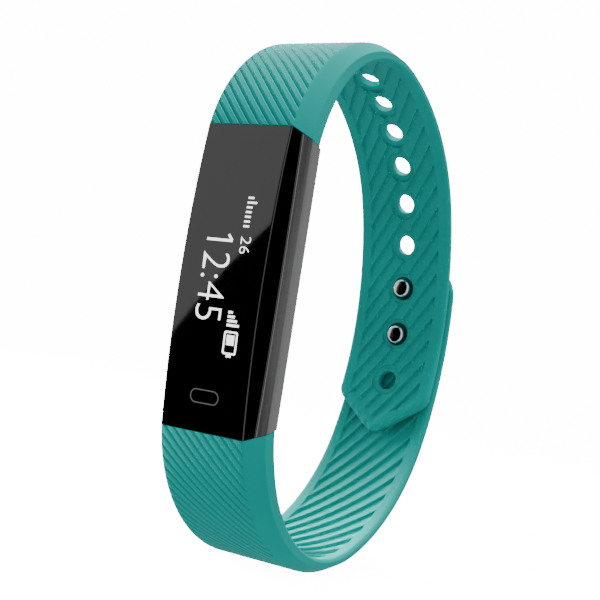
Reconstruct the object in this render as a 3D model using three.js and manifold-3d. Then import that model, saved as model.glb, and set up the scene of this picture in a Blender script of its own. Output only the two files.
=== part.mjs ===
// Fitness tracker band, closed on its clasp as it is worn.
//
// Millimetres. +Z runs up along the tracker's window, +X from the tracker across the loop to the clasp,
// and +Y along the wrist. The pieces are drawn from the plane through the corners of the window (x = 0)
// and its middle (z = 0), and the whole band is then moved so that the wrist's axis is the Y axis.

import * as THREE from 'three';
import { mergeVertices } from 'three/addons/utils/BufferGeometryUtils.js';
import Module from 'manifold-3d';

const wasm = await Module();
wasm.setup();

// Driving dimensions

const LOOP_CENTRE = { x: 24, z: -1 };

const BAND_WIDTH = 16;
const FACE_WIDTH = 13.6;            // the outer face between its two bevels
const BEVEL_DEPTH = 3.3;            // the tracker's bevels, which run on into the straps

const TRACKER_HALF_LENGTH = 20.2;   // at the window's corners
const END_ANGLE = THREE.MathUtils.degToRad(18.1);
const WINDOW_CROWN = 1.1;
const WINDOW_BACK = 1.7;
const WINDOW_POCKET = { front: 0.9, halfWidth: 5.9, halfLength: 18.1 };
const GASKET_INSET = 0.35;
const FRAME_FRONT = 2.0;
const FRAME_BACK = 5.8;
const FRAME_CHAMFER = { depth: 0.6, width: 0.3 };
const COVER_SEAL_INSET = { side: 0.9, end: 0.4 };
const COVER_FRONT = 6.1;
const COVER = { sideInset: 0.8, rounding: 1.3, endRounding: 0.8, roundingSteps: 5 };
const COVER_LIP = { height: 1.2, room: 0.25, wall: 0.7 };
const TRACKER_DEPTH = 7.4;
const CAVITY = { halfWidth: 6.5, halfLength: 17.0 };
const LENGTH_STEPS = 14;

const TONGUE = { depth: 3.5, halfThickness: 0.9, root: 1.5 };
const TONGUE_SLOT = { room: 0.2, inward: 4, outward: 2 };
const STRAP_TONGUE = { halfWidth: 5.5, length: 5.5 };
const CHARGING_TONGUE = { halfWidth: 6.0, length: 9.5, tail: 2.2 };
const CONTACT = { count: 4, pitch: 2.5, width: 1.6, length: 7.0, depth: 0.3, fromTip: 0.8, room: 0.15 };

const ROOT_THICKNESS = 5.6;
const STRAP_THICKNESS = 1.6;
const THIN_BEVEL = 0.6;
const STRAP_EDGE = 0.35;
const ROOT_TURN_LENGTH = 8;         // over which a strap turns from the tracker's end plane to its own normal
const STATION_STEP = 2.2;
const TIP_STEP = 0.5;
const TIP_REACH = 9;                // the stretch before a tip that is drawn in the finer steps

const HOLE_STRAP = {
  side: 1,
  heading: 78.8,
  turns: [[19.7, 97.7], [30.1, 50.9], [52.0, 23.9], [44.0, 30.0]],
  taper: 34,
  length: 96.9,
  hinge: 62.1,
};
const CLASP_STRAP = {
  side: -1,
  heading: -79.7,
  turns: [[21.7, 101.4], [29.0, 47.6], [53.7, 50.0]],
  taper: 38,
  length: 92.4,
  hinge: 63.0,
};

const POINT = { slope: 1.25, rounding: 0.8, shoulder: 1.2 };   // the hole strap's pointed tip
const ROUND_TIP = { length: 5.8, power: 2.4 };                 // the clasp strap's round tip
const TIP_END = 0.02;               // how far before its end a tip is cut square

// The holes stand closer together towards the tracker: each space is two closings shorter than the last.
const HOLES = { count: 9, last: 88.1, pitch: 7.8, closing: 0.17 };
const HOLE = { radius: 1.5, stretchedRadius: 1.85, rimRadius: 2.4, rimDepth: 0.35 };
const PEG_HOLES = [6, 7];           // the holes that the pegs stand in, counted from the tracker
const PEG = { radius: 1.45, neck: 1.1, rivet: 0.75, fillet: 0.4, filletSteps: 4, past: 0.35 };
const PEG_ROOM = { rivet: 0.15, shoulder: 0.15 };
const PLATE = { halfLength: 7.2, halfWidth: 2.9, sunk: 0.05, thickness: 0.65, steps: 16, endHalfWidth: 0.12 };
const PLATE_ROOM = 0.15;            // behind the plate in its pocket

const GAP = 0.3;                    // round a piece that sits in its neighbour
const SEAT = 0.1;                   // between two flat faces that rest on each other
const CIRCLE_STEPS = 24;
const PAST = 1;                     // how far a cutting tool runs past the face that it cuts

// Materials

const makeMaterial = (color, roughness, metalness = 0) =>
  new THREE.MeshStandardMaterial({ color, roughness, metalness });

const MATERIALS = {
  strap: makeMaterial(0x28a098, 0.55),
  window: makeMaterial(0x060607, 0.08),
  frame: makeMaterial(0x6e7073, 0.35, 0.9),
  blackPlastic: makeMaterial(0x151617, 0.5),
  seal: makeMaterial(0x202124, 0.8),
  display: makeMaterial(0x10141c, 0.2),
  flex: makeMaterial(0xb5752a, 0.45),
  board: makeMaterial(0x14502f, 0.5),
  chip: makeMaterial(0x1b1b1d, 0.6),
  ceramic: makeMaterial(0xd8d4c8, 0.6),
  gold: makeMaterial(0xd9a83f, 0.25, 1.0),
  battery: makeMaterial(0xb9bcc0, 0.35, 0.6),
  foam: makeMaterial(0x3a3a3c, 0.9),
  redWire: makeMaterial(0xb01818, 0.5),
  blackWire: makeMaterial(0x101010, 0.5),
  chrome: makeMaterial(0xd9dadd, 0.12, 1.0),
};

// Solid helpers

function solidOf(geometry) {
  const bare = geometry.clone();
  bare.deleteAttribute('normal');
  bare.deleteAttribute('uv');
  const merged = mergeVertices(bare);
  return new wasm.Manifold(new wasm.Mesh({
    numProp: 3,
    vertProperties: new Float32Array(merged.attributes.position.array),
    triVerts: new Uint32Array(merged.index.array),
  }));
}

function geometryOf(solid) {
  const mesh = solid.getMesh();
  const geometry = new THREE.BufferGeometry();
  geometry.setAttribute('position', new THREE.BufferAttribute(mesh.vertProperties, 3));
  geometry.setIndex(new THREE.BufferAttribute(mesh.triVerts, 1));
  return geometry;
}

function cut(geometry, ...tools) {
  const solid = tools.reduce((left, tool) => left.subtract(solidOf(tool)), solidOf(geometry));
  return geometryOf(solid);
}

function join(geometry, ...others) {
  const solid = others.reduce((sum, other) => sum.add(solidOf(other)), solidOf(geometry));
  return geometryOf(solid);
}

function box([x0, x1], [y0, y1], [z0, z1]) {
  const geometry = new THREE.BoxGeometry(x1 - x0, y1 - y0, z1 - z0);
  return geometry.translate((x0 + x1) / 2, (y0 + y1) / 2, (z0 + z1) / 2);
}

function signedVolume(points, triangles) {
  let volume = 0;
  for (const [a, b, c] of triangles) {
    volume += points[a].dot(points[b].clone().cross(points[c])) / 6;
  }
  return volume;
}

// A closed skin over a row of convex rings that all have the same number of points.
function loft(rings) {
  const count = rings[0].length;
  const points = rings.flat();
  const triangles = [];
  for (let ring = 0; ring < rings.length - 1; ring += 1) {
    for (let i = 0; i < count; i += 1) {
      const a = ring * count + i;
      const b = ring * count + ((i + 1) % count);
      triangles.push([a, b, b + count], [a, b + count, a + count]);
    }
  }
  const last = points.length - count;
  for (let i = 1; i < count - 1; i += 1) {
    triangles.push([0, i + 1, i], [last, last + i, last + i + 1]);
  }
  if (signedVolume(points, triangles) < 0) {
    triangles.forEach((triangle) => triangle.reverse());
  }
  const geometry = new THREE.BufferGeometry().setFromPoints(points);
  geometry.setIndex(triangles.flat());
  return geometry;
}

// A flat plate with rounded corners in the plane x = constant.
function roundedPlate([x0, x1], [y0, y1], [z0, z1], radius) {
  const shape = new THREE.Shape();
  shape.absarc(y1 - radius, z1 - radius, radius, 0, Math.PI / 2);
  shape.absarc(y0 + radius, z1 - radius, radius, Math.PI / 2, Math.PI);
  shape.absarc(y0 + radius, z0 + radius, radius, Math.PI, 1.5 * Math.PI);
  shape.absarc(y1 - radius, z0 + radius, radius, 1.5 * Math.PI, 2 * Math.PI);
  const plate = new THREE.ExtrudeGeometry(shape, { depth: x1 - x0, bevelEnabled: false, curveSegments: 3 });
  const standing = new THREE.Matrix4().makeBasis(
    new THREE.Vector3(0, 1, 0), new THREE.Vector3(0, 0, 1), new THREE.Vector3(1, 0, 0));
  return plate.applyMatrix4(standing).translate(x0, 0, 0);
}

// A solid of revolution on the line through `foot` along `direction`; the profile is [radius, height].
function turned(profile, foot, direction) {
  const points = profile.map(([radius, height]) => new THREE.Vector2(radius, height));
  const geometry = new THREE.LatheGeometry(points, CIRCLE_STEPS);
  const turn = new THREE.Quaternion().setFromUnitVectors(new THREE.Vector3(0, 1, 0), direction);
  return geometry.applyQuaternion(turn).translate(foot.x, foot.y, foot.z);
}

function drill(radius, foot, direction, from, to) {
  return turned([[0, from], [radius, from], [radius, to], [0, to]], foot, direction);
}

function wire(points, radius) {
  const section = new THREE.Shape().absarc(0, 0, radius, 0, 2 * Math.PI);
  const extrudePath = new THREE.CatmullRomCurve3(points.map((point) => new THREE.Vector3(...point)));
  return new THREE.ExtrudeGeometry(section, { steps: 8, curveSegments: 4, bevelEnabled: false, extrudePath });
}

// The tracker's outer form

const endHalfLength = (x) => TRACKER_HALF_LENGTH - x * Math.tan(END_ANGLE);

const crownAt = (v) => -WINDOW_CROWN * (1 - v * v);

// Half the width of the bevelled front at depth x, where the window's corner stands at the crown's height.
function bevelHalfWidth(x, v) {
  const along = (x - crownAt(v)) / (BEVEL_DEPTH - crownAt(v));
  return THREE.MathUtils.lerp(FACE_WIDTH / 2, BAND_WIDTH / 2, along);
}

// A slice of the tracker. edge(v) lists [x, half width, end inset] from front to back, at v = -1 to 1.
function trackerSlice(edge) {
  const rings = [];
  for (let step = 0; step <= LENGTH_STEPS; step += 1) {
    const v = -1 + (2 * step) / LENGTH_STEPS;
    const right = edge(v).map(([x, y, inset = 0]) =>
      new THREE.Vector3(x, y, v * (endHalfLength(x) - inset)));
    const left = right.map((point) => new THREE.Vector3(point.x, -point.y, point.z)).reverse();
    rings.push([...right, ...left]);
  }
  return loft(rings);
}

const cavity = (front, back, margin = 0) => box(
  [front, back],
  [-CAVITY.halfWidth - margin, CAVITY.halfWidth + margin],
  [-CAVITY.halfLength - margin, CAVITY.halfLength + margin]);

// A box that leaves the tracker square to one of its slanted ends: +1 is the upper end, -1 the lower.
function endBox(side, halfThickness, halfWidth, [from, to], sideways = 0, outward = 0) {
  const geometry = box(
    [outward - halfThickness, outward + halfThickness],
    [sideways - halfWidth, sideways + halfWidth],
    [from, to]);
  geometry.rotateY(side > 0 ? END_ANGLE : Math.PI - END_ANGLE);
  return geometry.translate(TONGUE.depth, 0, side * endHalfLength(TONGUE.depth));
}

function makeFrontWindow() {
  const block = trackerSlice((v) => [
    [crownAt(v), FACE_WIDTH / 2],
    [WINDOW_BACK, bevelHalfWidth(WINDOW_BACK, v)],
  ]);
  const { front, halfWidth, halfLength } = WINDOW_POCKET;
  const pocket = box([front, WINDOW_BACK + PAST], [-halfWidth, halfWidth], [-halfLength, halfLength]);
  return cut(block, pocket);
}

function makeWindowGasket() {
  const front = WINDOW_BACK + SEAT / 2;
  const back = FRAME_FRONT - SEAT / 2;
  const edge = BAND_WIDTH / 2 - 2 * GASKET_INSET;
  const block = trackerSlice(() => [[front, edge, GASKET_INSET], [back, edge, GASKET_INSET]]);
  const { halfWidth, halfLength } = WINDOW_POCKET;
  return cut(block, box([front - PAST, back + PAST], [-halfWidth, halfWidth], [-halfLength, halfLength]));
}

function makeHousingFrame() {
  const block = trackerSlice((v) => [
    [FRAME_FRONT, bevelHalfWidth(FRAME_FRONT, v)],
    [BEVEL_DEPTH, BAND_WIDTH / 2],
    [FRAME_BACK - FRAME_CHAMFER.depth, BAND_WIDTH / 2],
    [FRAME_BACK, BAND_WIDTH / 2 - FRAME_CHAMFER.width],
  ]);
  const tongue = endBox(1, TONGUE.halfThickness, STRAP_TONGUE.halfWidth, [-TONGUE.root, STRAP_TONGUE.length]);
  const { room, inward, outward } = TONGUE_SLOT;
  const slot = endBox(-1, TONGUE.halfThickness + room, CHARGING_TONGUE.halfWidth + room, [-inward, outward]);
  return cut(join(block, tongue), cavity(FRAME_FRONT - PAST, FRAME_BACK + PAST), slot);
}

function makeCoverSeal() {
  const front = FRAME_BACK + SEAT / 2;
  const back = COVER_FRONT - SEAT / 2;
  const { side, end } = COVER_SEAL_INSET;
  const edge = BAND_WIDTH / 2 - side;
  return cut(trackerSlice(() => [[front, edge, end], [back, edge, end]]), cavity(front - PAST, back + PAST));
}

function makeRearCover() {
  const edge = [];
  for (let step = 0; step <= COVER.roundingSteps; step += 1) {
    const turn = (step / COVER.roundingSteps) * (Math.PI / 2);
    const x = THREE.MathUtils.lerp(COVER_FRONT, TRACKER_DEPTH, Math.sin(turn));
    const y = BAND_WIDTH / 2 - COVER.sideInset - COVER.rounding * (1 - Math.cos(turn));
    edge.push([x, y, COVER.endRounding * (1 - Math.cos(turn))]);
  }
  const { height, room, wall } = COVER_LIP;
  const lip = cavity(COVER_FRONT - height, COVER_FRONT + room, -room);
  const inside = cavity(COVER_FRONT - height - PAST, COVER_FRONT + room, -room - wall);
  return cut(join(trackerSlice(() => edge), lip), inside);
}

// The tracker's inside

const BOARD = { front: 2.55, back: 3.25, halfWidth: 6.1, low: -16.2, high: 16.4 };
const PANEL = { front: 1.0, back: 1.9, halfWidth: 5.7, low: -12.0, high: 17.8 };
const BATTERY = { front: 3.7, back: 6.0, halfWidth: 5.3, low: 0.6, high: 15.8 };
const MOTOR = { y: -1.8, z: -11.8, radius: 3.5, front: 3.35, back: 5.9, rim: 0.25 };
const FLEX = { halfWidth: 4, bendX: 1.85, bendBelow: 1.0, outer: 0.6, inner: 0.46, leg: 3.2 };
const TOUCH_PAD = { halfWidth: 2.4, low: -16.9, high: -14.1, thickness: 0.2, corner: 1.3 };
const BATTERY_PAD_INSET = { side: 0.8, end: 1 };
const LEAD = { radius: 0.3, gap: 0.3, drop: 2.4 };
const LEAD_PLACES = { positive: -0.6, negative: -1.8 };
const CORNER = { panel: 0.3, board: 0.8, pad: 0.5, battery: 0.9, chip: 0.2 };
const PROCESSOR_CHIP = { y: 2.9, z: -4.4, width: 4.8, length: 4.8, height: 0.9 };
const MOTION_SENSOR = { y: -4.2, z: -3.2, width: 2.4, length: 2.4, height: 0.8 };
const CHARGING_CHIP = { y: -4.2, z: -6.6, width: 2.2, length: 2.2, height: 0.7 };
const RADIO_ANTENNA = { y: 4.6, z: -11.8, width: 1.6, length: 5.2, height: 1.1 };

// A flat plate of the inside, given as { front, back, halfWidth, low, high }.
function insidePlate({ front, back, halfWidth, low, high }, corner) {
  return roundedPlate([front, back], [-halfWidth, halfWidth], [low, high], corner);
}

// A chip soldered on the board's back face.
function makeChip({ y, z, width, length, height }) {
  const foot = BOARD.back + SEAT;
  const across = [y - width / 2, y + width / 2];
  const along = [z - length / 2, z + length / 2];
  return roundedPlate([foot, foot + height], across, along, CORNER.chip);
}

function makeDisplayFlex() {
  const { halfWidth, outer, inner } = FLEX;
  const bend = { x: FLEX.bendX, z: PANEL.low - FLEX.bendBelow, outer, inner };
  const legTop = PANEL.low + FLEX.leg;
  const shape = new THREE.Shape();
  shape.moveTo(bend.x - bend.outer, PANEL.low - SEAT);
  shape.absarc(bend.x, bend.z, bend.outer, Math.PI, 2 * Math.PI);
  shape.lineTo(bend.x + bend.outer, legTop);
  shape.lineTo(bend.x + bend.inner, legTop);
  shape.absarc(bend.x, bend.z, bend.inner, 2 * Math.PI, Math.PI, true);
  shape.lineTo(bend.x - bend.inner, PANEL.low - SEAT);
  const strip = new THREE.ExtrudeGeometry(shape, {
    depth: 2 * halfWidth,
    bevelEnabled: false,
    curveSegments: 6,
  });
  return strip.rotateX(Math.PI / 2).translate(0, halfWidth, 0);
}

function makeTouchPad() {
  const front = WINDOW_POCKET.front + SEAT / 2;
  return insidePlate({ ...TOUCH_PAD, front, back: front + TOUCH_PAD.thickness }, TOUCH_PAD.corner);
}

function makeMotor() {
  const centre = new THREE.Vector3(0, MOTOR.y, MOTOR.z);
  return turned([
    [0, MOTOR.front],
    [MOTOR.radius, MOTOR.front],
    [MOTOR.radius, MOTOR.back - MOTOR.rim],
    [MOTOR.radius - MOTOR.rim, MOTOR.back],
    [0, MOTOR.back],
  ], centre, new THREE.Vector3(1, 0, 0));
}

// A lead runs from the middle of the battery's lower end down to the board.
function makeBatteryLead(y) {
  const rise = (BATTERY.front + BATTERY.back) / 2;
  const foot = BOARD.back + LEAD.radius + SEAT;
  const start = BATTERY.low - LEAD.gap;
  const end = BATTERY.low - LEAD.drop;
  const quarter = (foot - rise) / 4;
  return wire([
    [rise, y, start],
    [rise + quarter, y, THREE.MathUtils.lerp(start, end, 0.35)],
    [foot - quarter, y, THREE.MathUtils.lerp(start, end, 0.6)],
    [foot, y, end],
  ], LEAD.radius);
}

const contactOffset = (index) => (index - (CONTACT.count - 1) / 2) * CONTACT.pitch;
const CONTACT_FACE = TONGUE.halfThickness - CONTACT.depth / 2;
const CONTACT_END = CHARGING_TONGUE.length - CONTACT.fromTip;
const CONTACT_SPAN = [CONTACT_END - CONTACT.length, CONTACT_END];

function makeChargingTongue() {
  const { halfWidth, length, tail } = CHARGING_TONGUE;
  const body = endBox(-1, TONGUE.halfThickness, halfWidth, [-tail, length]);
  const { room, depth, width, count } = CONTACT;
  const [from, to] = CONTACT_SPAN;
  const grooves = [];
  for (let index = 0; index < count; index += 1) {
    const span = [from - room, to + room];
    grooves.push(endBox(-1, depth / 2 + room, width / 2 + room, span, contactOffset(index), CONTACT_FACE));
  }
  return cut(body, ...grooves);
}

const makeContact = (index) =>
  endBox(-1, CONTACT.depth / 2, CONTACT.width / 2, CONTACT_SPAN, contactOffset(index), CONTACT_FACE);

// The straps

// The point on a strap's outer line at distance s from the tracker, with the direction along it and the
// direction inward. A turn past the end of the list goes on as the last one.
function stationOn(strap, s) {
  let x = 0;
  let z = strap.side * TRACKER_HALF_LENGTH;
  let heading = THREE.MathUtils.degToRad(strap.heading);
  let left = s;
  strap.turns.forEach(([radius, degrees], index) => {
    const isLast = index === strap.turns.length - 1;
    const length = isLast ? left : Math.min(left, radius * THREE.MathUtils.degToRad(degrees));
    const next = heading - (strap.side * length) / radius;
    x += strap.side * radius * (Math.sin(heading) - Math.sin(next));
    z += strap.side * radius * (Math.cos(next) - Math.cos(heading));
    heading = next;
    left -= length;
  });
  const quarter = strap.side * (Math.PI / 2);
  const rootTurn = -strap.side * END_ANGLE - (THREE.MathUtils.degToRad(strap.heading) - quarter);
  const turnLeft = 1 - THREE.MathUtils.smoothstep(s, 0, ROOT_TURN_LENGTH);
  const inwardAngle = heading - quarter + rootTurn * turnLeft;
  return {
    point: new THREE.Vector3(x, 0, z),
    along: new THREE.Vector3(Math.cos(heading), 0, Math.sin(heading)),
    inward: new THREE.Vector3(Math.cos(inwardAngle), 0, Math.sin(inwardAngle)),
  };
}

const taperAt = (strap, s) => 1 - THREE.MathUtils.smoothstep(s, 0, strap.taper);

const thicknessAt = (strap, s) =>
  STRAP_THICKNESS + (ROOT_THICKNESS - STRAP_THICKNESS) * taperAt(strap, s);

const bevelAt = (strap, s) => THIN_BEVEL + (BEVEL_DEPTH - THIN_BEVEL) * taperAt(strap, s);

function softMinimum(a, b, radius) {
  const blend = Math.max(radius - Math.abs(a - b), 0);
  return Math.min(a, b) - (blend * blend) / (4 * radius);
}

function pointedHalfWidth(s) {
  const before = Math.max(HOLE_STRAP.length - s, TIP_END);
  const { slope, rounding, shoulder } = POINT;
  const point = slope * Math.sqrt((before + rounding) ** 2 - rounding ** 2);
  return softMinimum(point, BAND_WIDTH / 2, shoulder);
}

function roundHalfWidth(s) {
  const before = THREE.MathUtils.clamp(CLASP_STRAP.length - s, TIP_END, ROUND_TIP.length) / ROUND_TIP.length;
  return (BAND_WIDTH / 2) * (1 - (1 - before) ** ROUND_TIP.power) ** (1 / ROUND_TIP.power);
}

// The section of a strap at s: a flat outer face, two bevels, two upright sides and a flat inner face.
function strapRing(strap, s, halfWidth) {
  const { point, inward } = stationOn(strap, s);
  const thickness = thicknessAt(strap, s);
  const bevelWidth = (BAND_WIDTH - FACE_WIDTH) / 2;
  const narrow = Math.min(1, halfWidth / (2 * bevelWidth));
  const edge = [
    [halfWidth - bevelWidth * narrow, 0],
    [halfWidth, bevelAt(strap, s)],
    [halfWidth, thickness - STRAP_EDGE],
    [halfWidth - STRAP_EDGE * narrow, thickness],
  ];
  const corners = [...edge, ...edge.toReversed().map(([y, depth]) => [-y, depth])];
  return corners.map(([y, depth]) => point.clone().addScaledVector(inward, depth).setY(y));
}

function strapBetween(strap, from, to, halfWidthAt = () => BAND_WIDTH / 2) {
  const stations = [];
  let s = from;
  while (s < to - TIP_STEP / 2) {
    stations.push(s);
    s += s > strap.length - TIP_REACH ? TIP_STEP : STATION_STEP;
  }
  stations.push(to);
  return loft(stations.map((station) => strapRing(strap, station, halfWidthAt(station))));
}

function holeStation(index) {
  const spaces = HOLES.count - 1 - index;
  return HOLES.last - HOLES.pitch * spaces + HOLES.closing * spaces * (spaces - 1);
}

// A hole and its sunk rim. A peg stretches the hole that it stands in.
function holeTools(index) {
  const s = holeStation(index);
  const { point, inward } = stationOn(HOLE_STRAP, s);
  const thickness = thicknessAt(HOLE_STRAP, s);
  const radius = PEG_HOLES.includes(index) ? HOLE.stretchedRadius : HOLE.radius;
  return [
    drill(radius, point, inward, -PAST, thickness + PAST),
    drill(HOLE.rimRadius, point, inward, thickness - HOLE.rimDepth, thickness + PAST),
  ];
}

function holesBetween(from, to) {
  const tools = [];
  for (let index = 0; index < HOLES.count; index += 1) {
    const s = holeStation(index);
    if (s > from && s < to) tools.push(...holeTools(index));
  }
  return tools;
}

function makeHoleStrap() {
  const end = HOLE_STRAP.hinge - GAP / 2;
  const { halfWidth, length } = STRAP_TONGUE;
  const socket = endBox(1, TONGUE.halfThickness + GAP, halfWidth + GAP, [-PAST, length + GAP]);
  return cut(strapBetween(HOLE_STRAP, GAP, end), socket, ...holesBetween(0, end));
}

function makeHoleStrapTail() {
  const start = HOLE_STRAP.hinge + GAP / 2;
  const tail = strapBetween(HOLE_STRAP, start, HOLE_STRAP.length, pointedHalfWidth);
  return cut(tail, ...holesBetween(start, HOLE_STRAP.length));
}

function makeClaspStrap() {
  const { halfWidth, length } = CHARGING_TONGUE;
  const socket = endBox(-1, TONGUE.halfThickness + GAP, halfWidth + GAP, [-PAST, length + GAP]);
  return cut(strapBetween(CLASP_STRAP, GAP, CLASP_STRAP.hinge - GAP / 2), socket);
}

// The clasp

const pegStations = PEG_HOLES.map(holeStation);
const pegAxis = stationOn(HOLE_STRAP, (pegStations[0] + pegStations[1]) / 2).inward;

const BISECTIONS = 40;

// Where the line through a point along the pegs crosses the clasp strap's outer line.
function claspStationOver(point) {
  let low = CLASP_STRAP.hinge;
  let high = CLASP_STRAP.length;
  const across = new THREE.Vector3(-pegAxis.z, 0, pegAxis.x);
  const upward = Math.sign(across.z);
  for (let step = 0; step < BISECTIONS; step += 1) {
    const middle = (low + high) / 2;
    const offset = stationOn(CLASP_STRAP, middle).point.sub(point).dot(across) * upward;
    if (offset < 0) low = middle;
    else high = middle;
  }
  return low;
}

const pegFeet = pegStations.map((s) => {
  const hole = stationOn(HOLE_STRAP, s).point;
  return stationOn(CLASP_STRAP, claspStationOver(hole)).point;
});

// Height along a peg, from the clasp strap's outer line, at which it leaves its hole on the inside.
const pegReach = pegStations.map((s, index) => {
  const hole = stationOn(HOLE_STRAP, s).point;
  return hole.sub(pegFeet[index]).dot(pegAxis) + STRAP_THICKNESS + PEG.past;
});

function plateSlab(grow, top, bottom) {
  const middle = (claspStationOver(pegFeet[0]) + claspStationOver(pegFeet[1])) / 2;
  const reach = PLATE.halfLength + grow;
  const width = PLATE.halfWidth + grow;
  const rings = [];
  for (let step = 0; step <= PLATE.steps; step += 1) {
    const offset = -reach * Math.cos((Math.PI * step) / PLATE.steps);
    const past = Math.max(Math.abs(offset) - (reach - width), 0);
    const half = Math.sqrt(Math.max(width * width - past * past, PLATE.endHalfWidth ** 2));
    const { point, inward } = stationOn(CLASP_STRAP, middle + offset);
    rings.push([[half, top], [half, bottom], [-half, bottom], [-half, top]].map(([y, depth]) =>
      point.clone().addScaledVector(inward, depth).setY(y)));
  }
  return loft(rings);
}

function makeClaspPlate() {
  const slab = plateSlab(0, PLATE.sunk, PLATE.sunk + PLATE.thickness);
  const radius = PEG.rivet + PEG_ROOM.rivet;
  const holes = pegFeet.map((foot) => drill(radius, foot, pegAxis, -PAST, PLATE.thickness + PAST));
  return cut(slab, ...holes);
}

function makeClaspStrapEnd() {
  const slab = strapBetween(CLASP_STRAP, CLASP_STRAP.hinge + GAP / 2, CLASP_STRAP.length, roundHalfWidth);
  const pocket = plateSlab(GAP, -PAST, PLATE.sunk + PLATE.thickness + PLATE_ROOM);
  const holes = pegFeet.map((foot) => drill(PEG.neck + GAP, foot, pegAxis, -PAST, STRAP_THICKNESS + PAST));
  return cut(slab, pocket, ...holes);
}

// A riveted stud: its rivet fills the plate, its neck the clasp strap and its flat round head the hole.
function makePeg(index) {
  const plateBack = PLATE.sunk + PLATE.thickness + SEAT;
  const shoulder = STRAP_THICKNESS + PEG_ROOM.shoulder;
  const end = pegReach[index];
  const profile = [
    [0, PLATE.sunk],
    [PEG.rivet, PLATE.sunk],
    [PEG.rivet, plateBack],
    [PEG.neck, plateBack],
    [PEG.neck, shoulder],
    [PEG.radius, shoulder],
  ];
  for (let step = 0; step <= PEG.filletSteps; step += 1) {
    const turn = (step / PEG.filletSteps) * (Math.PI / 2);
    profile.push([
      PEG.radius - PEG.fillet * (1 - Math.cos(turn)),
      end - PEG.fillet * (1 - Math.sin(turn)),
    ]);
  }
  profile.push([0, end]);
  return turned(profile, pegFeet[index], pegAxis);
}

// The assembly

const band = new THREE.Group();
band.position.set(-LOOP_CENTRE.x, 0, -LOOP_CENTRE.z);

function addPiece(name, geometry, material) {
  const piece = new THREE.Mesh(geometry, material.clone());
  piece.name = name;
  band.add(piece);
}

const batteryPad = {
  front: BOARD.back + SEAT,
  back: BATTERY.front - SEAT,
  halfWidth: BATTERY.halfWidth - BATTERY_PAD_INSET.side,
  low: BATTERY.low + BATTERY_PAD_INSET.end,
  high: BATTERY.high - BATTERY_PAD_INSET.end,
};

addPiece('front_window', makeFrontWindow(), MATERIALS.window);
addPiece('window_gasket', makeWindowGasket(), MATERIALS.seal);
addPiece('display_panel', insidePlate(PANEL, CORNER.panel), MATERIALS.display);
addPiece('display_flex', makeDisplayFlex(), MATERIALS.flex);
addPiece('touch_pad', makeTouchPad(), MATERIALS.gold);
addPiece('housing_frame', makeHousingFrame(), MATERIALS.frame);
addPiece('cover_seal', makeCoverSeal(), MATERIALS.seal);
addPiece('rear_cover', makeRearCover(), MATERIALS.blackPlastic);
addPiece('main_board', insidePlate(BOARD, CORNER.board), MATERIALS.board);
addPiece('processor_chip', makeChip(PROCESSOR_CHIP), MATERIALS.chip);
addPiece('motion_sensor', makeChip(MOTION_SENSOR), MATERIALS.chip);
addPiece('charging_chip', makeChip(CHARGING_CHIP), MATERIALS.chip);
addPiece('radio_antenna', makeChip(RADIO_ANTENNA), MATERIALS.ceramic);
addPiece('battery_pad', insidePlate(batteryPad, CORNER.pad), MATERIALS.foam);
addPiece('battery_cell', insidePlate(BATTERY, CORNER.battery), MATERIALS.battery);
addPiece('battery_lead_positive', makeBatteryLead(LEAD_PLACES.positive), MATERIALS.redWire);
addPiece('battery_lead_negative', makeBatteryLead(LEAD_PLACES.negative), MATERIALS.blackWire);
addPiece('vibration_motor', makeMotor(), MATERIALS.battery);
addPiece('charging_tongue', makeChargingTongue(), MATERIALS.blackPlastic);
for (let index = 0; index < CONTACT.count; index += 1) {
  addPiece(`charging_contact_${index + 1}`, makeContact(index), MATERIALS.gold);
}
addPiece('hole_strap', makeHoleStrap(), MATERIALS.strap);
addPiece('hole_strap_tail', makeHoleStrapTail(), MATERIALS.strap);
addPiece('clasp_strap', makeClaspStrap(), MATERIALS.strap);
addPiece('clasp_strap_end', makeClaspStrapEnd(), MATERIALS.strap);
addPiece('clasp_plate', makeClaspPlate(), MATERIALS.chrome);
addPiece('clasp_peg_upper', makePeg(0), MATERIALS.chrome);
addPiece('clasp_peg_lower', makePeg(1), MATERIALS.chrome);

export default band;
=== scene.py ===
"""Fitness tracker band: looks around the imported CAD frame. Metres, +Z up, +X from the tracker to the clasp."""
import math

import bmesh
import bpy
from mathutils import Matrix, Quaternion, Vector


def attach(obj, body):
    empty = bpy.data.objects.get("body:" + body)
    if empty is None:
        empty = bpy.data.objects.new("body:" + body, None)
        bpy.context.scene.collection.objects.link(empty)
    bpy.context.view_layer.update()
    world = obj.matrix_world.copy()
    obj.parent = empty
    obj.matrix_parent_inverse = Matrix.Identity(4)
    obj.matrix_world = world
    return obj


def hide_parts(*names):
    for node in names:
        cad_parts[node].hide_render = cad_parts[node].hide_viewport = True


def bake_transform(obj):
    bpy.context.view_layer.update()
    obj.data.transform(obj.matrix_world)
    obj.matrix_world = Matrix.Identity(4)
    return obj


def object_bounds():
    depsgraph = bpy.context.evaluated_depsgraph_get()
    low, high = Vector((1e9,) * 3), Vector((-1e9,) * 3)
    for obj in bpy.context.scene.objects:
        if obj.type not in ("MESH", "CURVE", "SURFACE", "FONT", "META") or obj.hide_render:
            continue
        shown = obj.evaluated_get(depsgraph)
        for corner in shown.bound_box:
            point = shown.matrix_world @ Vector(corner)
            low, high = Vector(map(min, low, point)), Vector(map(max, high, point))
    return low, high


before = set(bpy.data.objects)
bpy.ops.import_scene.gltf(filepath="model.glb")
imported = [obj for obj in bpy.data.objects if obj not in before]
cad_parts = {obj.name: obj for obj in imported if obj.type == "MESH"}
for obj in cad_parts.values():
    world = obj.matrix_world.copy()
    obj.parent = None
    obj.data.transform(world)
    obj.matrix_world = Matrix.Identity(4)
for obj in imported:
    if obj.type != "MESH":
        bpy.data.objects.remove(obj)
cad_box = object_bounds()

MM = 0.001

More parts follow.
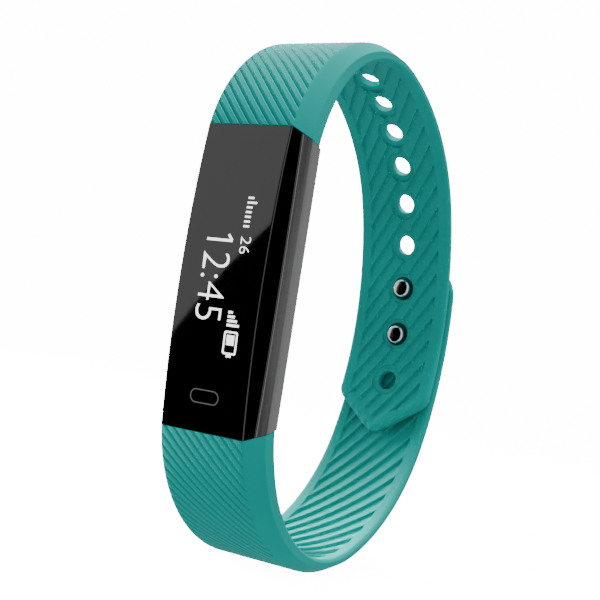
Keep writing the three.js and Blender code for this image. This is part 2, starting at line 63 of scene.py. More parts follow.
# ---------------------------------------------------------------- camera

CAMERA_PLACE = Vector((-150.15, -98.69, -7.68)) * MM
CAMERA_AZIMUTH = math.radians(-55.54)
CAMERA_ELEVATION = math.radians(-2.61)
CAMERA_ROLL = math.radians(8.88)
CAMERA_LENS = 74.2


def make_camera():
    data = bpy.data.cameras.new("camera")
    data.sensor_width = 36.0
    data.lens = CAMERA_LENS
    data.clip_start = 0.005
    data.clip_end = 20.0
    camera = bpy.data.objects.new("camera", data)
    bpy.context.scene.collection.objects.link(camera)
    across = math.cos(CAMERA_ELEVATION)
    back = Vector((
        math.sin(CAMERA_AZIMUTH) * across,
        -math.cos(CAMERA_AZIMUTH) * across,
        math.sin(CAMERA_ELEVATION)))
    level = Vector((math.cos(CAMERA_AZIMUTH), math.sin(CAMERA_AZIMUTH), 0))
    upright = back.cross(level)
    right = level * math.cos(CAMERA_ROLL) + upright * math.sin(CAMERA_ROLL)
    up = upright * math.cos(CAMERA_ROLL) - level * math.sin(CAMERA_ROLL)
    turn = Matrix((right, up, back)).transposed().to_4x4()
    camera.matrix_world = Matrix.Translation(CAMERA_PLACE) @ turn
    bpy.context.scene.camera = camera


make_camera()

# ---------------------------------------------------------------- sizes, in millimetres

# Every mm place below is counted from the middle of the window's corner plane, as in the CAD model.
ORIGIN = Vector((-24.0, 0.0, 1.0))

BAND_WIDTH = 16.0
FACE_WIDTH = 13.6
HALF_WIDTH = BAND_WIDTH / 2
HALF_FACE = FACE_WIDTH / 2
BEVEL_WIDTH = HALF_WIDTH - HALF_FACE
BEVEL_DEPTH = 3.3

TRACKER_HALF_LENGTH = 20.2
END_ANGLE = math.radians(18.1)
WINDOW_CROWN = 1.1
WINDOW_BACK = 1.72
POCKET_FRONT = 0.9
POCKET_HALF_WIDTH = 5.9
POCKET_HALF_LENGTH = 18.1
FRAME_FRONT = 1.82
FRAME_BACK = 5.8
CAVITY_HALF_WIDTH = 6.5
CAVITY_HALF_LENGTH = 17.0
COVER_FRONT = 6.1
COVER_ROUNDING = 1.3
COVER_SIDE_INSET = 0.8
COVER_END_SHARE = 0.6
SLOT_DEPTH = 3.5

ROOT_THICKNESS = 5.6
STRAP_THICKNESS = 1.6
THIN_BEVEL = 0.6
STRAP_EDGE = 0.35
STRAP_EDGE_ROUNDING = 0.25
BEVEL_ROUNDING = 0.06
ROOT_TURN_LENGTH = 8.0
ROOT_GAP = 0.08
HOLE_STRAP_LENGTH = 96.9
CLASP_STRAP_LENGTH = 92.4

HOLE_COUNT = 9
HOLE_LAST = 88.1
HOLE_PITCH = 7.8
HOLE_CLOSING = 0.17
HOLE_RADIUS = 1.5
STRETCHED_RADIUS = 1.85
RIM_RADIUS = 2.4
PEG_HOLES = (6, 7)

PEG_RADIUS = 1.45
PEG_FILLET = 0.42
PEG_PAST_STRAP = 0.35
PEG_SEARCH_START = 60.0
PLATE_REACH = 7.2
PLATE_HALF_WIDTH = 2.9
PLATE_ROOM = 0.12
PLATE_POCKET_DEPTH = 0.78
RIVET_HOLE_RADIUS = 0.82
NECK_HOLE_RADIUS = 1.25


def smoothstep(x, low, high):
    t = min(max((x - low) / (high - low), 0.0), 1.0)
    return t * t * (3 - 2 * t)


def soft_minimum(a, b, radius):
    blend = max(radius - abs(a - b), 0.0)
    return min(a, b) - blend * blend / (4 * radius)


def soft_ramp(x, rounding):
    """max(x, 0) with a rounded corner."""
    return 0.5 * (x + math.sqrt(x * x + rounding * rounding))


def to_metres(point):
    return (point + ORIGIN) * MM


# ---------------------------------------------------------------- mesh helpers

def new_object(name, mesh):
    piece = bpy.data.objects.new(name, mesh)
    bpy.context.scene.collection.objects.link(piece)
    return piece


MERGE_DISTANCE = 1.5e-6
SHORTEST_EDGE = 1e-7


def object_from(name, points, faces):
    mesh = bpy.data.meshes.new(name)
    mesh.from_pydata([to_metres(point) for point in points], [], faces)
    work = bmesh.new()
    work.from_mesh(mesh)
    bmesh.ops.remove_doubles(work, verts=work.verts, dist=MERGE_DISTANCE)
    bmesh.ops.dissolve_degenerate(work, dist=SHORTEST_EDGE, edges=work.edges)
    bmesh.ops.recalc_face_normals(work, faces=work.faces)
    work.to_mesh(mesh)
    work.free()
    return new_object(name, mesh)


def skin_faces(rings, count):
    """Quads between neighbouring rings of count points each."""
    faces = []
    for ring in range(rings - 1):
        for i in range(count):
            a = ring * count + i
            b = ring * count + (i + 1) % count
            faces.append((a, b, b + count, a + count))
    return faces


def loft(name, rings):
    """A closed skin over rings of equal length."""
    count = len(rings[0])
    points = [point for ring in rings for point in ring]
    faces = skin_faces(len(rings), count)
    last = len(points) - count
    faces.append(tuple(range(count - 1, -1, -1)))
    faces.append(tuple(range(last, last + count)))
    return object_from(name, points, faces)


def turned(name, profile, foot, direction, steps=48):
    """A solid of revolution; profile lists (radius, height) and starts and ends on the axis."""
    direction = direction.normalized()
    side = direction.cross(Vector((0, 1, 0)))
    if side.length < 0.1:
        side = direction.cross(Vector((1, 0, 0)))
    side.normalize()
    other = direction.cross(side)
    points = [foot + direction * profile[0][1]]
    for radius, height in profile[1:-1]:
        for step in range(steps):
            angle = 2 * math.pi * step / steps
            outward = side * math.cos(angle) + other * math.sin(angle)
            points.append(foot + direction * height + outward * radius)
    points.append(foot + direction * profile[-1][1])
    faces = []
    for step in range(steps):
        ahead = (step + 1) % steps
        faces.append((0, 1 + ahead, 1 + step))
        for row in range(len(profile) - 3):
            low = 1 + row * steps
            high = low + steps
            faces.append((low + step, low + ahead, high + ahead, high + step))
        top = 1 + (len(profile) - 3) * steps
        faces.append((top + step, top + ahead, len(points) - 1))
    return object_from(name, points, faces)


def box(name, low, high):
    low = Vector(low)
    high = Vector(high)
    rings = []
    for z in (low.z, high.z):
        rings.append([Vector((x, y, z)) for x, y in (
            (low.x, low.y), (high.x, low.y), (high.x, high.y), (low.x, high.y))])
    return loft(name, rings)


def combine(piece, tool, operation):
    """Joins, cuts or clips piece with tool, and removes the tool."""
    modifier = piece.modifiers.new("combine", "BOOLEAN")
    modifier.operation = operation
    modifier.solver = "MANIFOLD"
    modifier.object = tool
    bpy.context.view_layer.update()
    result = bpy.data.meshes.new_from_object(piece.evaluated_get(bpy.context.evaluated_depsgraph_get()))
    piece.modifiers.remove(modifier)
    old = piece.data
    piece.data = result
    bpy.data.meshes.remove(old)
    bpy.data.objects.remove(tool)


def smooth(piece, degrees=34):
    for polygon in piece.data.polygons:
        polygon.use_smooth = True
    piece.data.set_sharp_from_angle(angle=math.radians(degrees))


def finish_piece(piece, material, body):
    piece.data.materials.clear()
    piece.data.materials.append(material)
    if body:
        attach(piece, body)


# ---------------------------------------------------------------- materials

def nodes_of(name):
    material = bpy.data.materials.new(name)
    material.use_nodes = True
    tree = material.node_tree
    shader = tree.nodes["Principled BSDF"]
    place = tree.nodes.new("ShaderNodeTexCoord")
    return material, tree, shader, place


def linear(color):
    return tuple((c / 12.92 if c <= 0.04045 else ((c + 0.055) / 1.055) ** 2.4) for c in color) + (1.0,)


def add_noise(tree, place, scale, detail, stretch=(1, 1, 1)):
    mapping = tree.nodes.new("ShaderNodeMapping")
    mapping.inputs["Scale"].default_value = stretch
    tree.links.new(place.outputs["Object"], mapping.inputs["Vector"])
    noise = tree.nodes.new("ShaderNodeTexNoise")
    noise.inputs["Scale"].default_value = scale
    noise.inputs["Detail"].default_value = detail
    tree.links.new(mapping.outputs["Vector"], noise.inputs["Vector"])
    return noise.outputs["Fac"]


# Noise seldom leaves this span, so the span is stretched over a whole change of colour or roughness.
NOISE_LOW = 0.3
NOISE_HIGH = 0.7


def map_range(tree, source, low, high):
    node = tree.nodes.new("ShaderNodeMapRange")
    node.inputs["From Min"].default_value = NOISE_LOW
    node.inputs["From Max"].default_value = NOISE_HIGH
    node.inputs["To Min"].default_value = low
    node.inputs["To Max"].default_value = high
    tree.links.new(source, node.inputs["Value"])
    return node.outputs["Result"]


def mix_colors(tree, source, dark, light):
    ramp = tree.nodes.new("ShaderNodeValToRGB")
    ramp.color_ramp.elements[0].position = NOISE_LOW
    ramp.color_ramp.elements[0].color = dark
    ramp.color_ramp.elements[1].position = NOISE_HIGH
    ramp.color_ramp.elements[1].color = light
    tree.links.new(source, ramp.inputs["Fac"])
    return ramp.outputs["Color"]


def add_bump(tree, shader, source, distance):
    bump = tree.nodes.new("ShaderNodeBump")
    bump.inputs["Distance"].default_value = distance
    bump.inputs["Strength"].default_value = 1.0
    tree.links.new(source, bump.inputs["Height"])
    tree.links.new(bump.outputs["Normal"], shader.inputs["Normal"])


PATCH_SCALE = 90.0


def moulded(name, dark, light, roughness, grain, grain_depth, metallic=0.0, specular=0.5, stretch=(1, 1, 1)):
    """A material with a slow change of colour, a fine grain and a roughness that follows the grain."""
    material, tree, shader, place = nodes_of(name)
    slow = add_noise(tree, place, PATCH_SCALE, 2.0, stretch)
    fine = add_noise(tree, place, grain, 4.0, stretch)
    tree.links.new(mix_colors(tree, slow, linear(dark), linear(light)), shader.inputs["Base Color"])
    tree.links.new(map_range(tree, fine, roughness[0], roughness[1]), shader.inputs["Roughness"])
    shader.inputs["Metallic"].default_value = metallic
    shader.inputs["Specular IOR Level"].default_value = specular
    add_bump(tree, shader, fine, grain_depth)
    return material


PIXEL_SCALE = 5200.0
DIMMEST_PIXEL = 0.93


def glowing(name, color, strength):
    """The display's light, with the slight unevenness of its pixels. On the touch key's printed ring the glow is
    painted light, standing in for lamp light on its grey print.
    """
    material, tree, shader, place = nodes_of(name)
    shader.inputs["Base Color"].default_value = linear((0.05, 0.05, 0.05))
    fine = add_noise(tree, place, PIXEL_SCALE, 1.0)
    dim = linear([c * DIMMEST_PIXEL for c in color])
    tree.links.new(mix_colors(tree, fine, dim, linear(color)), shader.inputs["Emission Color"])
    shader.inputs["Emission Strength"].default_value = strength
    tree.links.new(map_range(tree, fine, 0.2, 0.3), shader.inputs["Roughness"])
    return material


STRAP_LOOK = moulded(
    "strap_elastomer", (0.0, 0.585, 0.555), (0.0, 0.61, 0.58), (0.56, 0.66), 4200.0, 0.000006, specular=0.14)
WINDOW_LOOK = moulded(
    "tinted_window", (0.004, 0.004, 0.005), (0.006, 0.006, 0.007), (0.02, 0.04), 900.0, 0.0, specular=0.95)
METAL_LOOK = moulded(
    "brushed_metal", (0.46, 0.462, 0.465), (0.53, 0.532, 0.535), (0.32, 0.44), 3000.0, 0.000004,
    metallic=1.0, stretch=(1, 1, 0.025))
COVER_LOOK = moulded(
    "matt_black_plastic", (0.06, 0.06, 0.065), (0.085, 0.085, 0.09), (0.5, 0.62), 5200.0, 0.000008)
SEAL_LOOK = moulded("seal_rubber", (0.05, 0.05, 0.055), (0.075, 0.075, 0.08), (0.7, 0.8), 3600.0, 0.000005)
CHROME_LOOK = moulded(
    "polished_chrome", (0.86, 0.86, 0.88), (0.92, 0.92, 0.93), (0.05, 0.12), 2600.0, 0.000001, metallic=1.0)
PANEL_LOOK = moulded("display_glass", (0.05, 0.06, 0.09), (0.07, 0.08, 0.12), (0.08, 0.14), 1500.0, 0.0)
FLEX_LOOK = moulded("amber_film", (0.60, 0.36, 0.12), (0.72, 0.46, 0.18), (0.35, 0.5), 2400.0, 0.000004)
BOARD_LOOK = moulded("solder_mask", (0.04, 0.26, 0.14), (0.08, 0.36, 0.20), (0.3, 0.45), 2600.0, 0.000012)
CHIP_LOOK = moulded("chip_epoxy", (0.07, 0.07, 0.075), (0.10, 0.10, 0.105), (0.5, 0.65), 6000.0, 0.000008)
CERAMIC_LOOK = moulded(
    "antenna_ceramic", (0.78, 0.76, 0.70), (0.86, 0.84, 0.79), (0.5, 0.65), 5200.0, 0.000006)
GOLD_LOOK = moulded(
    "gold_plate", (0.80, 0.60, 0.22), (0.88, 0.70, 0.30), (0.2, 0.35), 3200.0, 0.000002, metallic=1.0)
FOIL_LOOK = moulded(
    "battery_foil", (0.66, 0.67, 0.69), (0.74, 0.75, 0.77), (0.28, 0.42), 1800.0, 0.00001, metallic=1.0)
FOAM_LOOK = moulded("foam", (0.17, 0.17, 0.18), (0.24, 0.24, 0.25), (0.85, 0.95), 2600.0, 0.00003)
RED_WIRE_LOOK = moulded("red_sleeve", (0.60, 0.05, 0.05), (0.70, 0.08, 0.08), (0.4, 0.5), 3600.0, 0.000003)
BLACK_WIRE_LOOK = moulded(
    "black_sleeve", (0.04, 0.04, 0.04), (0.07, 0.07, 0.07), (0.4, 0.5), 3600.0, 0.000003)
LIT_LOOK = glowing("display_white", (0.93, 0.94, 0.95), 3.2)
# The touch key's printed grey ring glows: painted light in place of lamp light falling on the print.
KEY_PRINT_GLOW_LOOK = glowing("key_print_painted_glow", (0.46, 0.46, 0.47), 0.7)

# ---------------------------------------------------------------- the straps

# How far a rib's surface lies below the strap's face, at places along one pitch: (place, share of its depth).
# Both kinds of rib rise slowly out of a valley and then drop back steeply.
OUTER_RIB = (
    (0.0, 1.0), (0.34, 0.16), (0.42, 0.0), (0.52, 0.05), (0.76, 0.05), (0.86, 0.0), (0.92, 0.22), (0.98, 1.0))
OUTER_PITCH = 1.57
OUTER_SLANT = 1.0
OUTER_MARGIN = (BEVEL_WIDTH - 0.02, BEVEL_WIDTH + 0.12)
INNER_RIB = ((0.0, 1.0), (0.30, 0.66), (0.60, 0.28), (0.78, 0.05), (0.85, 0.0), (0.89, 0.10), (0.96, 0.95))
INNER_PITCH = 3.6
INNER_SLANT = 1.5
INNER_DEPTH = 0.45
INNER_MARGIN = (1.82, 2.06)
INNER_START = (12, 16)
RIB_FADE = 5
ROW_GAP = 0.03
MOST_RIBS = 99

# A strap's outline closes in only within this distance of its end.
TIP_REACH = 12

# Where the mesh's columns run, as distances from the strap's middle line.
COLUMNS = sorted({side * y for side in (-1, 1) for y in (
    8.0, 7.94, 7.8, 7.5, 7.15, 6.92, 6.8, 6.7, 6.5, 6.18, 5.94, 5.6, 5.2, 4.8, 4.4, 4.0, 3.6, 3.2, 2.8, 2.4,
    2.0, 1.6, 1.2, 0.8, 0.4)} | {0.0})


class Strap:
    def __init__(self, side, heading, turns, taper, length, rib_depth, rib_end, half_width):
        self.side = side
        self.heading = heading
        self.turns = turns
        self.taper = taper
        self.length = length
        self.rib_depth = rib_depth
        self.rib_end = rib_end
        self.half_width = half_width

    def station(self, s):
        """The outer line's point at distance s from the tracker, and the directions along it and inward."""
        x = 0.0
        z = self.side * TRACKER_HALF_LENGTH
        heading = math.radians(self.heading)
        left = s
        for index, (radius, degrees) in enumerate(self.turns):
            last = index == len(self.turns) - 1
            length = left if last else min(left, radius * math.radians(degrees))
            ahead = heading - self.side * length / radius
            x += self.side * radius * (math.sin(heading) - math.sin(ahead))
            z += self.side * radius * (math.cos(ahead) - math.cos(heading))
            heading = ahead
            left -= length
        quarter = self.side * math.pi / 2
        root_turn = -self.side * END_ANGLE - (math.radians(self.heading) - quarter)
        inward = heading - quarter + root_turn * (1 - smoothstep(s, 0, ROOT_TURN_LENGTH))
        return (
            Vector((x, 0, z)),
            Vector((math.cos(heading), 0, math.sin(heading))),
            Vector((math.cos(inward), 0, math.sin(inward))))

    def at(self, s, y, depth):
        point, _, inward = self.station(s)
        spot = point + inward * depth
        spot.y = y
        return spot

    def taper_at(self, s):
        return 1 - smoothstep(s, 0, self.taper)

    def thickness(self, s):
        return STRAP_THICKNESS + (ROOT_THICKNESS - STRAP_THICKNESS) * self.taper_at(s)

    def bevel(self, s):
        return THIN_BEVEL + (BEVEL_DEPTH - THIN_BEVEL) * self.taper_at(s)

    def edge_distance(self, s, y):
        sideways = HALF_WIDTH - abs(y)
        if s < self.length - TIP_REACH:
            return sideways
        width = self.half_width(s)
        step = 0.02
        slope = (self.half_width(s + step) - self.half_width(s - step)) / (2 * step)
        return max(min(sideways, (width - abs(y)) / math.sqrt(1 + slope * slope)), 0.0)

    def end_at(self, y):
        """Where the tip's outline crosses the line at y."""
        low = self.length - TIP_REACH - 2
        high = self.length
        for _ in range(30):
            middle = (low + high) / 2
            if self.half_width(middle) >= abs(y) - 1e-4:
                low = middle
            else:
                high = middle
        return low

    def outer_depth(self, s, y):
        edge = self.edge_distance(s, y)
        depth = self.bevel(s) * soft_ramp(1 - edge / BEVEL_WIDTH, BEVEL_ROUNDING)
        inside = smoothstep(edge, *OUTER_MARGIN)
        fade = 1 - smoothstep(s, self.rib_end - RIB_FADE, self.rib_end)
        valley = rib_profile(OUTER_RIB, (self.side * s - OUTER_SLANT * y) / OUTER_PITCH)
        return depth + self.rib_depth * valley * inside * fade

    def inner_depth(self, s, y):
        edge = self.edge_distance(s, y)
        thickness = self.thickness(s)
        rounding = STRAP_EDGE * soft_ramp(1 - edge / STRAP_EDGE, STRAP_EDGE_ROUNDING) ** 1.5
        inside = smoothstep(edge, *INNER_MARGIN) * smoothstep(s, *INNER_START)
        valley = rib_profile(INNER_RIB, (self.side * s - INNER_SLANT * y) / INNER_PITCH)
        return thickness - rounding - INNER_DEPTH * valley * inside

    def rows(self):
        """Where the mesh's rows cross the middle line: on each corner of the ribs' profiles."""
        rows = rib_rows(OUTER_RIB, OUTER_PITCH, -HALF_WIDTH, self.rib_end + HALF_WIDTH, self.side)
        reach = INNER_SLANT * HALF_WIDTH
        rows += rib_rows(INNER_RIB, INNER_PITCH, -reach, self.length + reach, self.side)
        rows.sort()
        return [row for row, ahead in zip(rows, rows[1:] + [math.inf]) if ahead - row > ROW_GAP]


def rib_rows(profile, pitch, start, end, side):
    places = [(number + place) * pitch for number in range(-MOST_RIBS, MOST_RIBS) for place, _ in profile]
    return [side * place for place in places if start <= side * place <= end]


def rib_profile(profile, turns):
    """The share of the rib's depth, a number of pitches along it."""
    place = turns % 1.0
    ends = profile + ((1.0, profile[0][1]),)
    for (a, low), (b, high) in zip(ends, ends[1:]):
        if a <= place <= b:
            return low + (high - low) * (place - a) / (b - a)
    return 0.0


def pointed_half_width(s):
    """The hole strap's tip: a rounded point between rounded shoulders."""
    slope = 1.25
    rounding = 0.8
    shoulder = 1.2
    before = max(HOLE_STRAP_LENGTH - s, 0.0)
    point = slope * math.sqrt(max((before + rounding) ** 2 - rounding ** 2, 0.0))
    return soft_minimum(point, HALF_WIDTH, shoulder)


def round_half_width(s):
    """The clasp strap's end, which is squarer than a half circle."""
    reach = 5.8
    power = 2.4
    before = min(max((CLASP_STRAP_LENGTH - s) / reach, 0.0), 1.0)
    return HALF_WIDTH * (1 - (1 - before) ** power) ** (1 / power)


HOLE_STRAP = Strap(
    side=1, heading=78.8, turns=((19.7, 97.7), (30.1, 50.9), (52.0, 23.9), (44.0, 30.0)),
    taper=34, length=HOLE_STRAP_LENGTH, rib_depth=0.34, rib_end=32, half_width=pointed_half_width)
CLASP_STRAP = Strap(
    side=-1, heading=-79.7, turns=((21.7, 101.4), (29.0, 47.6), (53.7, 50.0)),
    taper=38, length=CLASP_STRAP_LENGTH, rib_depth=0.16, rib_end=28, half_width=round_half_width)


def strap_body(name, strap):
    """The whole ribbed strap: rows run along the ribs, and columns along the strap."""
    ends = {y: strap.end_at(y) for y in COLUMNS}
    rows = strap.rows()
    points = []
    count = 2 * len(COLUMNS) + 4
    for row in rows:
        outer = []
        inner = []
        for y in COLUMNS:
            s = min(max(row + strap.side * OUTER_SLANT * y, ROOT_GAP), ends[y])
            outer.append((s, y, strap.outer_depth(s, y)))
            s = min(max(row + strap.side * INNER_SLANT * y, ROOT_GAP), ends[y])
            inner.append((s, y, strap.inner_depth(s, y)))
        ring = outer + wall(outer[-1], inner[-1]) + inner[::-1] + wall(inner[0], outer[0])
        points.extend(strap.at(*spot) for spot in ring)
    faces = skin_faces(len(rows), count)
    faces.extend(ladder(0, count))
    faces.extend(ladder((len(rows) - 1) * count, count))
    return object_from(name, points, faces)


def wall(start, end):
    """Two points on the upright side between the outer and the inner face, close to its edges."""
    inset = 0.06
    step = math.copysign(min(inset, abs(end[2] - start[2]) / 3), end[2] - start[2])
    return [(start[0], start[1], start[2] + step), (end[0], end[1], end[2] - step)]


def ladder(first, count):
    """The end wall of a strap: rungs between the outer and the inner face of one ring."""
    columns = len(COLUMNS)
    outer = [first + i for i in range(columns)]
    inner = [first + columns + 2 + (columns - 1 - i) for i in range(columns)]
    far_wall = [first + columns, first + columns + 1]
    near_wall = [first + count - 2, first + count - 1]
    faces = []
    for i in range(columns - 1):
        face = [outer[i], outer[i + 1]]
        if i == columns - 2:
            face.extend(far_wall)
        face.extend([inner[i + 1], inner[i]])
        if i == 0:
            face.extend(near_wall)
        faces.append(tuple(face))
    return faces


def hole_station(index):
    """How far along the strap a hole sits. The spaces between the holes close up towards the tracker."""
    spaces = HOLE_COUNT - 1 - index
    return HOLE_LAST - HOLE_PITCH * spaces + HOLE_CLOSING * spaces * (spaces - 1)


def cut_hole(piece, index):
    """A hole through the strap, in a sunk round rim that the inner ribs end at."""
    s = hole_station(index)
    point, _, inward = HOLE_STRAP.station(s)
    face = HOLE_STRAP.thickness(s)
    floor = face - INNER_DEPTH
    rim = [
        (0, floor), (RIM_RADIUS - 0.08, floor), (RIM_RADIUS, floor + 0.08), (RIM_RADIUS + 0.06, face + 0.02),
        (RIM_RADIUS + 0.06, face + 1), (0, face + 1)]
    combine(piece, turned("rim", rim, point, inward, 64), "DIFFERENCE")
    radius = STRETCHED_RADIUS if index in PEG_HOLES else HOLE_RADIUS
    bore = [
        (0, -1), (radius + 0.4, -1), (radius + 0.12, -0.04), (radius, 0.1), (radius, floor - 0.08),
        (radius + 0.1, floor + 0.02), (radius + 0.1, face + 1), (0, face + 1)]
    combine(piece, turned("bore", bore, point, inward, 64), "DIFFERENCE")


def make_hole_strap():
    piece = strap_body("hole_strap_skin", HOLE_STRAP)
    for index in range(HOLE_COUNT):
        cut_hole(piece, index)
    smooth(piece)
    finish_piece(piece, STRAP_LOOK, None)
    strap_spot(HOLE_STRAP, 52, 2)
    strap_spot(HOLE_STRAP, 69, 0)
    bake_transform(piece)
    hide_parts("hole_strap", "hole_strap_tail")


def strap_spot(strap, s, depth):
    return tuple(to_metres(strap.at(s, 0, depth)))


# ---------------------------------------------------------------- the clasp

def peg_axis():
    """Both pegs point along the hole strap's inward direction halfway between their holes."""
    stations = [hole_station(index) for index in PEG_HOLES]
    return HOLE_STRAP.station(sum(stations) / len(stations))[2]


def clasp_station_over(point):
    """Where the clasp strap crosses the line that a peg follows through its hole."""
    axis = peg_axis()
    across = Vector((-axis.z, 0, axis.x))
    upward = math.copysign(1, across.z)
    low = PEG_SEARCH_START
    high = CLASP_STRAP.length
    for _ in range(40):
        middle = (low + high) / 2
        if (CLASP_STRAP.station(middle)[0] - point).dot(across) * upward < 0:
            low = middle
        else:
            high = middle
    return low


PEG_HOLE_POINTS = [HOLE_STRAP.station(hole_station(index))[0] for index in PEG_HOLES]
PEG_STATIONS = [clasp_station_over(point) for point in PEG_HOLE_POINTS]
PEG_FEET = [CLASP_STRAP.station(s)[0] for s in PEG_STATIONS]
PLATE_MIDDLE = sum(PEG_STATIONS) / 2


def plate_rings(grow, depths):
    """Rings of a rounded plate along the clasp strap. depths lists (inset from the edge, depth)."""
    outline = [(1, inset, depth) for inset, depth in depths]
    outline += [(-1, inset, depth) for inset, depth in reversed(depths)]
    rings = []
    steps = 48
    for step in range(steps + 1):
        ring = []
        for side, inset, depth in outline:
            reach = PLATE_REACH + grow - inset
            half = PLATE_HALF_WIDTH + grow - inset
            along = reach * -math.cos(math.pi * step / steps)
            past = max(abs(along) - (reach - half), 0)
            width = math.sqrt(max(half * half - past * past, 0))
            ring.append(CLASP_STRAP.at(PLATE_MIDDLE + along, side * width, depth))
        rings.append(ring)
    return rings


def make_clasp_strap():
    piece = strap_body("clasp_strap_skin", CLASP_STRAP)
    pocket = loft("pocket", plate_rings(PLATE_ROOM, [(0.0, -1.0), (0.0, PLATE_POCKET_DEPTH)]))
    combine(piece, pocket, "DIFFERENCE")
    for foot in PEG_FEET:
        neck = [(0, -1), (NECK_HOLE_RADIUS, -1), (NECK_HOLE_RADIUS, 3), (0, 3)]
        combine(piece, turned("neck", neck, foot, peg_axis()), "DIFFERENCE")
    smooth(piece)
    finish_piece(piece, STRAP_LOOK, None)
    strap_spot(CLASP_STRAP, 54, 1.6)
    strap_spot(CLASP_STRAP, 70, 0)
    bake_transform(piece)
    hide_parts("clasp_strap", "clasp_strap_end")


def make_clasp_plate():
    rings = plate_rings(0, [(0.22, 0.05), (0.08, 0.08), (0.0, 0.18), (0.0, 0.7)])
    piece = loft("clasp_plate_shell", rings)
    for foot in PEG_FEET:
        rivet = [(0, -1), (RIVET_HOLE_RADIUS, -1), (RIVET_HOLE_RADIUS, 2), (0, 2)]
        combine(piece, turned("rivet_hole", rivet, foot, peg_axis()), "DIFFERENCE")
    smooth(piece)
    finish_piece(piece, CHROME_LOOK, "clasp_end")
    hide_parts("clasp_plate")


def make_peg(name, node, index):
    foot = PEG_FEET[index]
    axis = peg_axis()
    end = (PEG_HOLE_POINTS[index] - foot).dot(axis) + STRAP_THICKNESS + PEG_PAST_STRAP
    profile = [
        (0, 0.02), (0.55, 0.03), (0.74, 0.1), (0.78, 0.2), (0.78, 0.76), (1.1, 0.78), (1.1, 1.7),
        (1.3, 1.75), (PEG_RADIUS - 0.05, 1.85), (PEG_RADIUS, 1.95)]
    steps = 8
    for step in range(steps + 1):
        turn = step / steps * math.pi / 2
        radius = PEG_RADIUS - PEG_FILLET * (1 - math.cos(turn))
        profile.append((radius, end - PEG_FILLET * (1 - math.sin(turn))))
    profile.append((0, end + 0.03))
    piece = turned(name, profile, foot, axis, 64)
    smooth(piece, 50)
    finish_piece(piece, CHROME_LOOK, "clasp_end")
    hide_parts(node)


# ---------------------------------------------------------------- the tracker

def end_half_length(x):
    return TRACKER_HALF_LENGTH - x * math.tan(END_ANGLE)


def crown_at(v):
    return -WINDOW_CROWN * (1 - v * v)


def bevel_half_width(x, v):
    along = (x - crown_at(v)) / (BEVEL_DEPTH - crown_at(v))
    return HALF_FACE + BEVEL_WIDTH * along


def tracker_slice(name, edge):
    """A slice of the tracker. edge(v) lists (x, half width, end inset) from front to back."""
    rings = []
    steps = 40
    for step in range(steps + 1):
        v = -1 + 2 * step / steps
        right = [Vector((x, y, v * (end_half_length(x) - inset))) for x, y, inset in edge(v)]
        left = [Vector((point.x, -point.y, point.z)) for point in reversed(right)]
        rings.append(right + left)
    return loft(name, rings)


def make_window():
    def edge(v):
        front = crown_at(v)
        rows = [
            (front, HALF_FACE - 0.22, 0.03),
            (front, HALF_FACE - 0.13, 0.03),
            (front + 0.01, HALF_FACE - 0.06, 0.03),
            (front + 0.05, HALF_FACE - 0.02, 0.03)]
        for x in (front + 0.13, front + 0.2, WINDOW_BACK - 0.2, WINDOW_BACK - 0.1):
            rows.append((x, bevel_half_width(x, v), 0.03))
        rows.append((WINDOW_BACK, bevel_half_width(WINDOW_BACK, v) - 0.06, 0.06))
        return rows
    piece = tracker_slice("window_lens", edge)
    pocket = box(
        "pocket", (POCKET_FRONT, -POCKET_HALF_WIDTH, -POCKET_HALF_LENGTH),
        (3, POCKET_HALF_WIDTH, POCKET_HALF_LENGTH))
    combine(piece, pocket, "DIFFERENCE")
    smooth(piece, 40)
    finish_piece(piece, WINDOW_LOOK, "tracker")
    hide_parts("front_window")


def make_frame():
    def edge(v):
        return [
            (FRAME_FRONT, bevel_half_width(FRAME_FRONT, v) - 0.08, 0.05),
            (FRAME_FRONT + 0.07, bevel_half_width(FRAME_FRONT + 0.07, v), 0.0),
            (BEVEL_DEPTH - 0.12, bevel_half_width(BEVEL_DEPTH - 0.12, v), 0.0),
            (BEVEL_DEPTH - 0.03, HALF_WIDTH - 0.02, 0.0),
            (BEVEL_DEPTH + 0.07, HALF_WIDTH, 0.0),
            (FRAME_BACK - 0.7, HALF_WIDTH, 0.0),
            (FRAME_BACK - 0.5, HALF_WIDTH - 0.03, 0.0),
            (FRAME_BACK - 0.1, HALF_WIDTH - 0.22, 0.0),
            (FRAME_BACK, HALF_WIDTH - 0.34, 0.04)]
    piece = tracker_slice("frame_shell", edge)
    cavity = box(
        "cavity", (0, -CAVITY_HALF_WIDTH, -CAVITY_HALF_LENGTH), (7, CAVITY_HALF_WIDTH, CAVITY_HALF_LENGTH))
    combine(piece, cavity, "DIFFERENCE")
    combine(piece, end_box("slot", (-1.1, -6.2, -4), (1.1, 6.2, 2), -1), "DIFFERENCE")
    combine(piece, end_box("tongue", (-0.9, -5.5, -1.5), (0.9, 5.5, 5.5), 1), "UNION")
    smooth(piece, 30)
    finish_piece(piece, METAL_LOOK, "tracker")
    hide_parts("housing_frame")


def end_box(name, low, high, side):
    """A box drawn about the middle of one of the tracker's slanted ends, +Z leaving the tracker."""
    piece = box(name, low, high)
    turn = Quaternion((0, 1, 0), END_ANGLE if side > 0 else math.pi - END_ANGLE)
    middle = Vector((SLOT_DEPTH, 0, side * end_half_length(SLOT_DEPTH)))
    for vertex in piece.data.vertices:
        vertex.co = to_metres(turn @ (vertex.co / MM - ORIGIN) + middle)
    return piece


